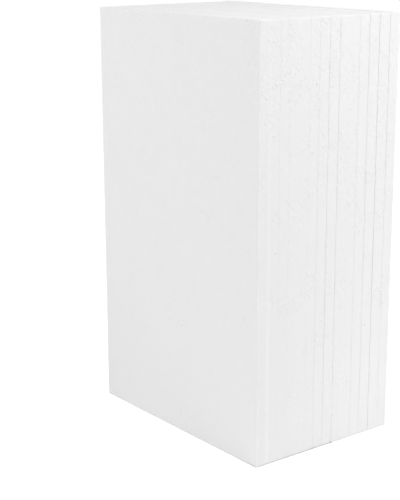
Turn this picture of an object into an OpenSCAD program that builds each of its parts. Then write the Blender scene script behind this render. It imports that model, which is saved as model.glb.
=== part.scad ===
// Foam block: fourteen loose sheets of expanded polystyrene that stand on end, face to face.
// X runs along a sheet's width, Y from the front sheet to the back one, and Z up.
// The origin is at the middle of the block's foot.

/* [Sheet] */
// Width of a sheet, along the floor
sheet_w = 261; // [150:0.1:400]
// Height of a sheet as it stands on end
sheet_h = 431.8; // [250:0.1:600]
// Nominal thickness of a sheet
sheet_t = 12.6; // [6:0.1:30]
// Radius of a sheet's two blunt upper corners
top_corner_r = 1.2; // [0.4:0.1:3]
// Radius of the two sharper corners that it stands on
foot_corner_r = 0.5; // [0.4:0.1:3]
// Radius of the crisp arrises round a sheet's two broad faces
arris_r = 0.15; // [0.1:0.05:1]

/* [Cutting] */
// Most that the hot wire drifts from the nominal thickness
wire_drift = 1.2; // [0:0.1:2]
// Most that a sheet is cut short of its full height
cut_short = 0.3; // [0:0.05:1.5]

/* [Stacking] */
// Gap that is left in every joint, even where two sheets lie tight
tight_gap = 0.02; // [0.01:0.01:0.3]
// Gap that is added in a joint that stands fully open
loose_gap = 0.3; // [0:0.05:0.8]
// Most that a sheet slips towards the block's right side
side_slip = 0.35; // [0:0.05:2]

/* [Hidden] */
NODES = ["sheet_01", "sheet_02", "sheet_03", "sheet_04", "sheet_05", "sheet_06", "sheet_07",
         "sheet_08", "sheet_09", "sheet_10", "sheet_11", "sheet_12", "sheet_13", "sheet_14"];
last = len(NODES) - 1;

// The unevenness of each sheet, from the front one to the back one, as shares of the sizes above
drift = [-0.20, -0.25, -0.65, -0.05, -0.10, -0.55, -0.05, 0.20, 0.55, -0.15, 0.05, 0.50, 1.00, -0.10];
short = [ 0.20,  0.50,  0.10,  0.40,  0.80,  0.30,  0.00, 0.60, 0.40,  0.20, 1.00, 0.50, 0.70,  0.00];
slip  = [-0.10, -0.30, -0.30, -0.30, -0.70, -0.70, -0.50, -0.20, 0.10, -0.20, 0.00, 0.40, 0.80, 1.00];

// How open each joint is, from the front one to the back one: 0 is tight and 1 is fully open.
// Where a joint opens upwards, every sheet behind it leans back by the difference.
foot_open = [0.0, 0.0, 0.0, 0.0, 0.0, 0.05, 0.3, 0.25, 0.0, 0.0, 0.2, 0.6, 0.0];
top_open  = [0.0, 0.1, 0.1, 0.0, 0.05, 0.1, 0.3, 0.35, 0.05, 0.2, 0.25, 0.65, 1.0];

// Facets of a full circle, for the rounded edges
edge_facets = 32;

// Sum of the first n values of a list
function sum_of(list, n) = n <= 0 ? 0 : list[n - 1] + sum_of(list, n - 1);

function thickness(i) = sheet_t + wire_drift * drift[i];
function height(i) = sheet_h - cut_short * short[i];

// Where the front of sheet i stands behind the front of the block, at the floor or at the top
function behind(i, open) = sheet_t * i + wire_drift * sum_of(drift, i)
                         + tight_gap * i + loose_gap * sum_of(open, i);

// The angle by which sheet i leans back, and the depth of the block at its top
function lean(i) = asin((behind(i, top_open) - behind(i, foot_open)) / sheet_h);
block_d = behind(last, top_open) + thickness(last);

// A rectangle that stands on the X axis, with its two lower and two upper corners rounded
module rounded(w, h, low_r, high_r) {
    translate([-w / 2, low_r]) square([w, h - low_r - high_r]);
    translate([-w / 2 + low_r, 0]) square([w - 2 * low_r, h / 2]);
    translate([-w / 2 + high_r, h / 2]) square([w - 2 * high_r, h / 2]);
    for (side = [-1, 1]) {
        translate([side * (w / 2 - low_r), low_r]) circle(low_r, $fn = edge_facets);
        translate([side * (w / 2 - high_r), h - high_r]) circle(high_r, $fn = edge_facets);
    }
}

// One sheet as it comes off the hot wire: flat faces, blunt corners and crisp arrises.
// It stands behind the X axis, on the floor.
module cut_sheet(t, h) {
    intersection() {
        // Seen from the front
        translate([0, t, 0])
            rotate([90, 0, 0])
                linear_extrude(t) rounded(sheet_w, h, foot_corner_r, top_corner_r);
        // Seen from above
        linear_extrude(h) rounded(sheet_w, t, arris_r, arris_r);
        // Seen from the side
        translate([-sheet_w / 2, t / 2, 0])
            rotate([90, 0, 90])
                linear_extrude(sheet_w) rounded(t, h, arris_r, arris_r);
    }
}

// Sheet i of the block. It leans back on the lower edge of its back face.
module sheet(i) {
    t = thickness(i);
    color("#f3f4f4")
        translate([side_slip * slip[i], behind(i, foot_open) + t - block_d / 2, 0])
            rotate([-lean(i), 0, 0])
                translate([0, -t, 0])
                    cut_sheet(t, height(i));
}

for (i = [0 : last])
    sheet(i);
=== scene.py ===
import math
import random

import bmesh
import bpy
from mathutils import Matrix, Vector, noise


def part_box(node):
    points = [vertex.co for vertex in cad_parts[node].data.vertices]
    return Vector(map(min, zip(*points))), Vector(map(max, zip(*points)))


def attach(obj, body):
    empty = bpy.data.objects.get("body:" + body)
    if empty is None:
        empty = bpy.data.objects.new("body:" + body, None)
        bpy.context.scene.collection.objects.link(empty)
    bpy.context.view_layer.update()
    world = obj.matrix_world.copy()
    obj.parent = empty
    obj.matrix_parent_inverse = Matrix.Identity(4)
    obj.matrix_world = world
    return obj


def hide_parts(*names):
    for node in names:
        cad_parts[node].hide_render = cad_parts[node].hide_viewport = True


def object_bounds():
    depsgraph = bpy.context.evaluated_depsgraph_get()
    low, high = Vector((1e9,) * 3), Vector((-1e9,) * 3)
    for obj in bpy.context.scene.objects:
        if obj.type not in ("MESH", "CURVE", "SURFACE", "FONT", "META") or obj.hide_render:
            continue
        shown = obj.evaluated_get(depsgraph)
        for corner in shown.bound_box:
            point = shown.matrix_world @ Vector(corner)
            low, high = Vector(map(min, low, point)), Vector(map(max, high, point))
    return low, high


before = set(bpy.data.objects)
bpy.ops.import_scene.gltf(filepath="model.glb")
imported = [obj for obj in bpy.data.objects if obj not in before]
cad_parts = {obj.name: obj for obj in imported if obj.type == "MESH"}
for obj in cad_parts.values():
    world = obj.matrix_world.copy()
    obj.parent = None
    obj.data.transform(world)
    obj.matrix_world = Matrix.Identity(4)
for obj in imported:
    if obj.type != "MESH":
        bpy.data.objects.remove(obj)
cad_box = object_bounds()


# --- Camera ------------------------------------------------------------------
# The view is from the right of the block's front, a little above its top, so that the front,
# the right side with its thirteen joints, and a sliver of the top all show.

LENS = 89.59  # in millimetres, as is the width of its frame
FRAME_WIDTH = 36
AZIMUTH = math.radians(52.45)
ELEVATION = math.radians(14.4)
ROLL = math.radians(-0.22)
DISTANCE = 1.3166
AIM = Vector((-0.0216, -0.0411, 0.1818))

toward_camera = Vector((
    math.sin(AZIMUTH) * math.cos(ELEVATION),
    -math.cos(AZIMUTH) * math.cos(ELEVATION),
    math.sin(ELEVATION),
))
camera = bpy.data.objects.new("camera", bpy.data.cameras.new("camera"))
camera.data.lens = LENS
camera.data.sensor_width = FRAME_WIDTH
camera.matrix_world = (
    Matrix.Translation(AIM + DISTANCE * toward_camera)
    @ toward_camera.to_track_quat("Z", "Y").to_matrix().to_4x4()
    @ Matrix.Rotation(ROLL, 4, "Z")
)
bpy.context.collection.objects.link(camera)
bpy.context.scene.camera = camera


# --- Floor -------------------------------------------------------------------
# A plain white studio floor. It keeps the block's shadow, and a little light that lights
# nothing else lifts the open floor to the white of the backdrop.

FLOOR_SIZE = 12
FLOOR_WHITE = (0.93, 0.93, 0.93, 1)
FLOOR_ROUGHNESS = 0.9
FLOOR_LIFT = 0.58
LIFT_EDGE = (-0.001, 0.0005)  # where the lift begins and is full, off the foot of the block
FRONT_SHADOW = 0.0015  # both lie this much further out before its front and behind its back


def link(value, socket):
    """Feeds a socket from another one, or sets it to a number."""
    if isinstance(value, (int, float)):
        socket.default_value = value
    else:
        socket.id_data.links.new(value, socket)


def reckon(operation, a, b=0.0):
    """A sum on a socket and another socket or a number."""
    node = a.id_data.nodes.new("ShaderNodeMath")
    node.operation = operation
    link(a, node.inputs[0])
    link(b, node.inputs[1])
    return node.outputs[0]


def ramp(value, low, high, to_low=0.0, to_high=1.0, course="SMOOTHSTEP"):
    """Carries value from the span low..high over to to_low..to_high."""
    node = value.id_data.nodes.new("ShaderNodeMapRange")
    node.interpolation_type = course
    spans = {"From Min": low, "From Max": high, "To Min": to_low, "To Max": to_high}
    for socket, number in spans.items():
        node.inputs[socket].default_value = number
    link(value, node.inputs["Value"])
    return node.outputs[0]


def split(value, kind="ShaderNodeSeparateXYZ"):
    """The three parts of a vector or a colour."""
    node = value.id_data.nodes.new(kind)
    link(value, node.inputs[0])
    return node.outputs


def looking(tree):
    """1 on a ray from the camera or off something shiny or clear, and 0 on all others."""
    ray = tree.nodes.new("ShaderNodeLightPath")
    look = reckon("MAXIMUM", ray.outputs["Is Camera Ray"], ray.outputs["Is Glossy Ray"])
    return reckon("MAXIMUM", look, ray.outputs["Is Transmission Ray"])


def floor_paint():
    """White, with the light that lifts it beyond the foot of the block."""
    material = bpy.data.materials.new("floor_paint")
    material.use_nodes = True
    tree = material.node_tree
    paint = tree.nodes["Principled BSDF"]
    paint.inputs["Base Color"].default_value = FLOOR_WHITE
    paint.inputs["Roughness"].default_value = FLOOR_ROUGHNESS
    paint.inputs["Specular IOR Level"].default_value = 0

    place = split(tree.nodes.new("ShaderNodeTexCoord").outputs["Object"])
    beside = reckon("SUBTRACT", reckon("ABSOLUTE", place["X"]), cad_box[1][0])
    before = reckon("SUBTRACT", reckon("ABSOLUTE", place["Y"]), cad_box[1][1] + FRONT_SHADOW)
    lift = ramp(reckon("MAXIMUM", beside, before), *LIFT_EDGE, 0.0, FLOOR_LIFT, "LINEAR")
    glow = tree.nodes.new("ShaderNodeEmission")
    link(reckon("MULTIPLY", looking(tree), lift), glow.inputs["Strength"])

    both = tree.nodes.new("ShaderNodeAddShader")
    link(paint.outputs[0], both.inputs[0])
    link(glow.outputs[0], both.inputs[1])
    link(both.outputs[0], tree.nodes["Material Output"].inputs["Surface"])
    return material


bpy.ops.mesh.primitive_plane_add(size=FLOOR_SIZE, location=(0, 0, 0))
floor = bpy.context.object
floor.name = "floor"
floor.data.materials.append(floor_paint())


# --- Light -------------------------------------------------------------------
# An even white studio sky, soft lamps behind the block on its right and over its right side,
# a large one in front of it on the left, and a very faint one near the floor on the right.

SKY_STRENGTH = 0.472
MIDDLE = Vector((0.02, 0, 0.22))
LAMPS = {  # place, aim, width and power
    "key_lamp": (Vector((1.2, 0.9, 0.7)), MIDDLE, 0.5, 6.52),
    "side_lamp": (Vector((0.5, 0.1, 1.2)), MIDDLE, 0.5, 2.98),
    "fill_lamp": (Vector((-0.6, -2.2, 1.4)), MIDDLE, 1.2, 21.2),
    "low_lamp": (Vector((0.28, 0.1, 0.021)), Vector((0, 0.1, 0.021)), 0.04, 0.012),
}

sky = bpy.data.worlds.new("sky")
sky.use_nodes = True
bpy.context.scene.world = sky
backdrop = sky.node_tree.nodes["Background"]
backdrop.inputs["Color"].default_value = (1, 1, 1, 1)
link(ramp(looking(sky.node_tree), 0, 1, SKY_STRENGTH, 1, "LINEAR"), backdrop.inputs["Strength"])

for name, (place, aim, width, power) in LAMPS.items():
    lamp = bpy.data.objects.new(name, bpy.data.lights.new(name, "AREA"))
    lamp.data.size = width
    lamp.data.energy = power
    lamp.location = place
    lamp.rotation_euler = (place - aim).to_track_quat("Z", "Y").to_euler()
    bpy.context.collection.objects.link(lamp)

bpy.context.scene.view_settings.view_transform = "Standard"


# --- Sheets ------------------------------------------------------------------
# Fourteen sheets cut from a block of expanded polystyrene with a hot wire: flat, with blunt
# corners and crisp arrises. They are loose, and stand on end, face to face. The wire wandered a
# little, so that every joint has a slow wave, and it pulled pits where beads had not fused.

NAMES = sorted(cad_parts)
FIRST, LAST = NAMES[0], NAMES[-1]
TOP_CORNER_R = 0.0012
FOOT_CORNER_R = 0.0005
ARRIS_R = 0.00003

X, Y, Z = range(3)
CUTS = ((Z, 15), (Z, 17), (X, 15), (X, 10), (Y, 5))  # so many in each edge along an axis, in turn
END_BAND = 0.005  # what lies this near to a node's lowest or highest point is its foot or its top
STRAIGHT = 0.9999  # a line lies along an axis if at least this share of its length does
TOUCH = 1e-6  # points that are nearer than this are at one place

SHARED_WAVE = (0.0005, 0.06)  # of all sheets together, through the block: height and length
OWN_WAVE = (0.00012, 0.04)  # of each sheet by itself, through the block
CRUMBLE = (0.00012, 0.002)  # of a sheet's sides, in and out, from bead to bead

PITS = {0.0004: 0.03, 0.0005: 0.015, 0.00065: 0.008}  # their radii, and how often each comes up
PIT_ROOM = 2.2  # the least length of the edges round a pit, in radii
PIT_PROFILE = 0.15  # of the bevel that opens a pit: this makes its outline round
PIT_WALLS = ((0.1, -1.2), (0.3, -0.8))  # inward and down, in radii
PIT_CLUSTER = 0.03  # length of the patches where pits gather
LONE_PITS = 0.05  # what is left of their number between the patches
PATTERN_REACH = 9  # in patches: each radius has patches of its own, moved by up to this
PITLESS_DEPTH = 0.1  # there are more pits higher up, counted from this far under the foot
PITS_ON_BROAD = 0.5  # as often on a broad face as on the sides

RISEN = 8  # so many sheets at the front stand a little off the floor at their right end
RISE = 0.0004
RISE_LENGTH = 0.03
CHIPPED_JOINTS = (6, 8)  # where that end of the foot is chipped too
CHIP = (0.0008, 0.003)  # height and reach
RISE_UNIT = 0.01  # what a weight of 1 lifts a point by
SMOOTH_ANGLE = math.radians(20)  # edges sharper than this stay crisp


def ends(name):
    """How far back each point of a CAD node's foot lies, and each of its top."""
    low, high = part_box(name)
    corners = [v.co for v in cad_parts[name].data.vertices]
    foot = [c.y for c in corners if c.z < low[2] + END_BAND]
    top = [c.y for c in corners if c.z > high[2] - END_BAND]
    return foot, top


def measure(name):
    """A sheet's width, thickness, height and backward lean, read from its CAD node."""
    low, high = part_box(name)
    foot, top = ends(name)
    lean = math.atan2(max(top) - max(foot), high[2] - low[2])
    thick = max(foot) - min(foot)
    height = (high[2] - low[2] - thick * math.sin(abs(lean))) / math.cos(lean)
    return high[0] - low[0], thick, height, lean


def only(piece):
    """Makes one object the selected and active one."""
    bpy.ops.object.select_all(action="DESELECT")
    piece.select_set(True)
    bpy.context.view_layer.objects.active = piece


def pick(piece, parts, wanted):
    """Selects, in edit mode, the faces, edges or verts that wanted is true for."""
    bpy.ops.mesh.select_mode(type={"faces": "FACE", "edges": "EDGE", "verts": "VERT"}[parts])
    bpy.ops.mesh.select_all(action="DESELECT")
    mesh = bmesh.from_edit_mesh(piece.data)
    for part in getattr(mesh, parts):
        if wanted(part):
            part.select_set(True)
    bmesh.update_edit_mesh(piece.data)


def along(vector, axis):
    """Whether a vector, such as a face's normal, lies along an axis."""
    return abs(vector[axis]) > STRAIGHT * vector.length


def edge_along(edge, axis):
    return along(edge.verts[1].co - edge.verts[0].co, axis)


def meets(a, b):
    return abs(a - b) < TOUCH


def hot_wire_cut(open_side):
    """A sheet of the first one's size, standing on the middle of its foot.

    open_side is -1 or 1 where its front or its back shows, and 0 where both lie in joints.
    """
    width, thick, height, _ = measure(FIRST)
    bpy.ops.object.select_all(action="DESELECT")
    bpy.ops.mesh.primitive_cube_add(size=1, location=(0, 0, height / 2), scale=(width, thick, height))
    sheet = bpy.context.object
    bpy.ops.object.transform_apply(location=True, rotation=True, scale=True)
    bpy.ops.object.mode_set(mode="EDIT")

    # A broad face that lies in a joint stays one face, so it is off while the rim is cut up
    pick(sheet, "faces", lambda f: along(f.normal, Y) and f.normal.y * open_side <= 0)
    bpy.ops.mesh.delete(type="ONLY_FACE")
    for axis, cuts in CUTS:
        pick(sheet, "edges", lambda e: edge_along(e, axis))
        bpy.ops.mesh.subdivide(number_cuts=cuts)

    # Blunt corners
    def at_corner(edge, level):
        end = edge.verts[0].co
        return edge_along(edge, Y) and meets(abs(end.x), width / 2) and meets(end.z, level)

    for level, radius in ((height, TOP_CORNER_R), (0, FOOT_CORNER_R)):
        pick(sheet, "edges", lambda e: at_corner(e, level))
        bpy.ops.mesh.bevel(offset=radius, segments=4)

    # The plain broad faces go back in, and the arrises round the broad faces are eased
    for y in (-thick / 2, thick / 2):
        pick(sheet, "edges", lambda e: e.is_boundary and meets(e.verts[0].co.y, y))
        if any(e.select for e in bmesh.from_edit_mesh(sheet.data).edges):
            bpy.ops.mesh.edge_face_add()
    bpy.ops.mesh.select_all(action="SELECT")
    bpy.ops.mesh.normals_make_consistent(inside=False)
    pick(sheet, "edges", lambda e: sum(along(f.normal, Y) for f in e.link_faces) == 1)
    bpy.ops.mesh.bevel(offset=ARRIS_R, segments=2)
    bpy.ops.object.mode_set(mode="OBJECT")
    return sheet


def size_up(sheet, name):
    """Gives a sheet its own size, less what the crumbling will add."""
    width, thick, height, _ = measure(name)
    own_size = (width - CRUMBLE[0], thick, height - CRUMBLE[0])
    sheet.scale = [own / first for own, first in zip(own_size, measure(FIRST)[:3])]
    sheet.location.z = CRUMBLE[0] / 2
    bpy.ops.object.transform_apply(location=True, rotation=True, scale=True)


def loosen(sheet, name, open_side):
    """Marks the points that a wave may move through the block: all but an open broad face's."""
    thick = measure(name)[1]
    loose = sheet.vertex_groups.new(name="loose")
    for vert in sheet.data.vertices:
        share = (0.5 - open_side * vert.co.y / thick) if open_side else 1
        loose.add([vert.index], share, "REPLACE")


def pull_pits(sheet, chance):
    """Pits of each radius, in patches, all over the sides of a sheet that are cut up finely."""
    bpy.ops.object.mode_set(mode="EDIT")
    for radius, share in PITS.items():
        mesh = bmesh.from_edit_mesh(sheet.data)
        mesh.verts.index_update()
        free = [
            v for v in mesh.verts
            if any(along(v.normal, axis) for axis in (X, Y, Z)) and len(v.link_edges) == 4
            and min(e.calc_length() for e in v.link_edges) > PIT_ROOM * radius
        ]
        shift = Vector([chance.uniform(-PATTERN_REACH, PATTERN_REACH) for _ in range(3)])
        chosen = set()
        for vert in free:
            patch = noise.noise(vert.co / PIT_CLUSTER + shift)
            odds = share * (PITLESS_DEPTH + vert.co.z) * max(LONE_PITS, patch)
            if along(vert.normal, Y):
                odds *= PITS_ON_BROAD
            if chance.random() < odds:
                chosen.add(vert.index)
        pick(sheet, "verts", lambda v: v.index in chosen)
        bpy.ops.mesh.bevel(offset=radius, segments=2, profile=PIT_PROFILE, affect="VERTICES")
        bpy.ops.mesh.select_mode(type="FACE")
        for inward, down in PIT_WALLS:
            bpy.ops.mesh.inset(thickness=inward * radius, depth=down * radius)
    bpy.ops.object.mode_set(mode="OBJECT")


def displace(sheet, direction, strength, level, group, texture=None):
    """Moves a sheet's skin along an axis, by its weights in a group and by a texture."""
    modifier = sheet.modifiers.new("displace", "DISPLACE")
    modifier.texture = texture
    modifier.texture_coords = "GLOBAL"
    modifier.direction = direction
    modifier.strength = strength
    modifier.mid_level = level
    modifier.vertex_group = group
    bpy.ops.object.modifier_apply(modifier=modifier.name)


def wander(sheet, size, direction, group=""):
    """Moves a sheet's skin to and fro by a noise of the given height and length."""
    height, length = size
    ripple = bpy.data.textures.new("ripple", "CLOUDS")
    ripple.noise_scale = length
    displace(sheet, direction, strength=height, level=0.5, group=group, texture=ripple)


def raise_foot(sheet, number):
    """Lifts the right end of a foot off the floor, and chips it at some of the joints."""
    width, thick, _, _ = measure(NAMES[number])
    joints = {number: -thick / 2, number + 1: thick / 2}
    chips = [y for joint, y in joints.items() if joint in CHIPPED_JOINTS]
    raised = sheet.vertex_groups.new(name="raised")
    for vert in sheet.data.vertices:
        x, y, z = vert.co
        rise = RISE if number < RISEN else 0
        rise += CHIP[0] * sum(max(0, 1 - abs(y - chip) / CHIP[1]) for chip in chips)
        share = max(0, 1 - (width / 2 - x) / RISE_LENGTH) * max(0, 1 - z / RISE_LENGTH)
        if rise * share:
            raised.add([vert.index], rise * share / RISE_UNIT, "REPLACE")
    displace(sheet, "Z", strength=RISE_UNIT, level=0, group=raised.name)


def stand(sheet, name):
    """Leans a sheet back by its own angle and sets it where its CAD node is."""
    low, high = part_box(name)
    _, thick, _, lean = measure(name)
    foot_back = max(ends(name)[0])
    sheet.location = ((low[0] + high[0]) / 2, foot_back - thick / 2, 0)
    sheet.rotation_euler.x = -lean
    bpy.ops.object.transform_apply(location=True, rotation=True, scale=True)


# The foam is closed beads, steamed together. In clumps, more of them towards the top, some beads
# stand out of the cut, their seams show as whiter lines or as cracks, and there is a hole where
# a few of them don't quite meet.

BEAD = 0.004  # a bead's width
PROUD_BEADS = 0.5  # the share of the beads that stand out of the cut, some more than others
CROWN = 0.3  # from a bead's edge to where it is full, in beads
SEAM_REACH = 0.15  # from a bead's edge to where its seam ends, in beads
STRETCH = 0.006  # length of the pattern by which a seam is whiter, plain or cracked
WHITER = (0.5, 0.4)  # that pattern where a seam begins to be whiter, and where it fully is
CRACKED = (0.5, 0.6)  # the same for a crack
HOLE_SPACING = 0.005
HOLE_EDGE = (0.06, 0.12)  # the radius where a hole is whole and where it ends, in that spacing

CLUMP = 0.03  # length of the clumps where the beads show
MORE_UPWARD = 0.4  # what a metre of height adds to the pattern of the clumps
CLUMP_EDGE = (0.48, 0.72)  # that pattern at the edge of a clump and well inside it
HOLE_CLUMP = (0.55, 0.7)  # the same for the holes
BETWEEN_CLUMPS = 0.1  # how much of the beads shows there
SIDE_TO_BROAD = (0.3, 0.7)  # the Y of the normal on a side and on a broad face
ON_BROAD = 0.65  # how much of the beads shows on a broad face, where the wire ran taut

STRIPE_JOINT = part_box(FIRST)[1][1]  # a whiter stripe runs all along this one
STRIPE = (0.001, 0.003)  # half its width, where it is whole and where it ends
STRIPE_HEIGHT = (0.08, 0.36)  # between these it fades
STRIPE_TOP = 0.45  # to this

FOAM_WHITE = (0.97, 0.97, 0.97, 1)  # the whitest, and shares of it:
CUT_WHITE = (0.9215, 0.9275)  # of the cut through the beads, from bead to bead
SEAM_WHITE = 0.948
# of the whiter stripe along the first joint, fainter towards the top
STRIPE_WHITE = 0.966
# cracks keep this share of the white: painted shade in them
CRACK_PAINTED_SHADE = 0.98
# holes keep this share of the white: painted shade in them
HOLE_PAINTED_SHADE = 0.88
CUT_ROUGHNESS = 0.6
CRACK_ROUGHNESS = 0.75
FOAM_BODY = {  # how light glances off the foam, and how a little of it sinks in
    "Specular IOR Level": 0.3,
    "Subsurface Weight": 0.25,
    "Subsurface Radius": (1, 1, 1),
    "Subsurface Scale": 0.001,
    "IOR": 1.4,
}

RELIEF_UNIT = 0.0001  # the heights of the relief are in this
BEAD_RELIEF = 2.5
CRACK_DEPTH = 0.4
HOLE_DEPTH = 1.0
GRAIN = 0.0008  # length of the finest grain
GRAIN_RELIEF = 0.1


def cloud(place, length):
    """Noise from 0 to 1, with features of the given length."""
    node = place.id_data.nodes.new("ShaderNodeTexNoise")
    node.inputs["Scale"].default_value = 1 / length
    link(place, node.inputs["Vector"])
    return node.outputs["Fac"]


def cells(place, width, feature="F1"):
    """Cells of the given width, packed like beads."""
    node = place.id_data.nodes.new("ShaderNodeTexVoronoi")
    node.feature = feature
    node.inputs["Scale"].default_value = 1 / width
    link(place, node.inputs["Vector"])
    return node.outputs


def beads_and_holes(place, normal):
    """Where beads stand out, where their seams are whiter or cracked, and where holes are."""
    clumps = reckon("ADD", cloud(place, CLUMP), reckon("MULTIPLY", split(place)["Z"], MORE_UPWARD))
    facing = reckon("ABSOLUTE", split(normal)["Y"])
    shown = ramp(facing, *SIDE_TO_BROAD, 1.0, ON_BROAD)
    clump = reckon("MULTIPLY", ramp(clumps, *CLUMP_EDGE, BETWEEN_CLUMPS, 1.0), shown)

    own = split(cells(place, BEAD)["Color"], "ShaderNodeSeparateColor")
    inside = cells(place, BEAD, "DISTANCE_TO_EDGE")["Distance"]
    proud = reckon("MULTIPLY", ramp(own["Green"], 1 - PROUD_BEADS, 1.0), ramp(inside, 0.0, CROWN))
    line = reckon("MULTIPLY", ramp(inside, 0.0, SEAM_REACH, 1.0, 0.0), clump)
    stretches = cloud(place, STRETCH)
    points = cells(place, HOLE_SPACING)["Distance"]
    hole = reckon("MULTIPLY", ramp(points, *HOLE_EDGE, 1.0, 0.0), ramp(clumps, *HOLE_CLUMP))
    return {
        "own": own["Red"],  # a number of each bead's own
        "proud": reckon("MULTIPLY", proud, clump),
        "seam": reckon("MULTIPLY", line, ramp(stretches, *WHITER)),
        "crack": reckon("MULTIPLY", line, ramp(stretches, *CRACKED)),
        "hole": reckon("MULTIPLY", hole, shown),
    }


def whiter_stripe(place):
    """Where the foam is whiter along one joint, less of it towards the top."""
    at = split(place)
    from_joint = reckon("ABSOLUTE", reckon("SUBTRACT", at["Y"], STRIPE_JOINT))
    fade = ramp(at["Z"], *STRIPE_HEIGHT, 1.0, STRIPE_TOP)
    return reckon("MULTIPLY", ramp(from_joint, *STRIPE, 1.0, 0.0), fade)


def expanded_polystyrene():
    """The foam, with its marks in its white, its roughness and its relief."""
    foam = bpy.data.materials.new("expanded_polystyrene")
    foam.use_nodes = True
    nodes = foam.node_tree.nodes
    shader = nodes["Principled BSDF"]
    where = nodes.new("ShaderNodeTexCoord").outputs
    marks = beads_and_holes(where["Object"], where["Normal"])

    seam = reckon("MULTIPLY", marks["seam"], SEAM_WHITE - CUT_WHITE[1])
    # a whiter stripe along the first joint, fainter towards the top
    stripe = reckon("MULTIPLY", whiter_stripe(where["Object"]), STRIPE_WHITE - CUT_WHITE[1])
    white = reckon("ADD", ramp(marks["own"], 0.0, 1.0, *CUT_WHITE), seam)
    white = reckon("ADD", white, stripe)
    # cracks are darkened a little: painted shade in them, over their real sunk relief and rougher
    # skin
    white = reckon("MULTIPLY", white, ramp(marks["crack"], 0.0, 1.0, 1.0, CRACK_PAINTED_SHADE))
    # holes are darkened: painted shade in them, over their real sunk relief
    white = reckon("MULTIPLY", white, ramp(marks["hole"], 0.0, 1.0, 1.0, HOLE_PAINTED_SHADE))
    tint = nodes.new("ShaderNodeMix")
    tint.data_type = "RGBA"
    tint.inputs["A"].default_value = (0, 0, 0, 1)
    tint.inputs["B"].default_value = FOAM_WHITE
    link(white, tint.inputs["Factor"])
    link(tint.outputs["Result"], shader.inputs["Base Color"])

    rough = ramp(marks["crack"], 0.0, 1.0, CUT_ROUGHNESS, CRACK_ROUGHNESS)
    link(rough, shader.inputs["Roughness"])
    for socket, value in FOAM_BODY.items():
        shader.inputs[socket].default_value = value

    height = reckon("MULTIPLY", marks["proud"], BEAD_RELIEF)
    height = reckon("SUBTRACT", height, reckon("MULTIPLY", marks["crack"], CRACK_DEPTH))
    height = reckon("SUBTRACT", height, reckon("MULTIPLY", marks["hole"], HOLE_DEPTH))
    grain = reckon("MULTIPLY", cloud(where["Object"], GRAIN), GRAIN_RELIEF)
    height = reckon("ADD", height, grain)
    bump = nodes.new("ShaderNodeBump")
    bump.inputs["Strength"].default_value = 1.0
    bump.inputs["Distance"].default_value = RELIEF_UNIT
    link(height, bump.inputs["Height"])
    link(bump.outputs["Normal"], shader.inputs["Normal"])
    return foam


foam = expanded_polystyrene()

# A blank for the front sheet, one for those in between and one for the back sheet, which are
# copied, and each copy made a sheet of its own
blanks = {open_side: hot_wire_cut(open_side) for open_side in (-1, 0, 1)}
for number, name in enumerate(NAMES):
    open_side = {FIRST: -1, LAST: 1}.get(name, 0)
    only(blanks[open_side])
    bpy.ops.object.duplicate()
    sheet = bpy.context.object
    sheet.name = "foam_" + name
    size_up(sheet, name)
    loosen(sheet, name, open_side)
    pull_pits(sheet, random.Random(number))

    # Its own waves are found away from the others, and the shared one where it stands
    sheet.location.y = number + 1
    wander(sheet, OWN_WAVE, "Y", "loose")
    wander(sheet, CRUMBLE, "X")
    wander(sheet, CRUMBLE, "Z")
    sheet.location.y = 0
    raise_foot(sheet, number)
    stand(sheet, name)
    wander(sheet, SHARED_WAVE, "Y", "loose")
    bpy.ops.object.shade_smooth_by_angle(angle=SMOOTH_ANGLE)

    sheet.data.materials.append(foam)
    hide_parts(name)
    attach(sheet, "root")

for blank in blanks.values():
    only(blank)
    bpy.ops.object.delete()
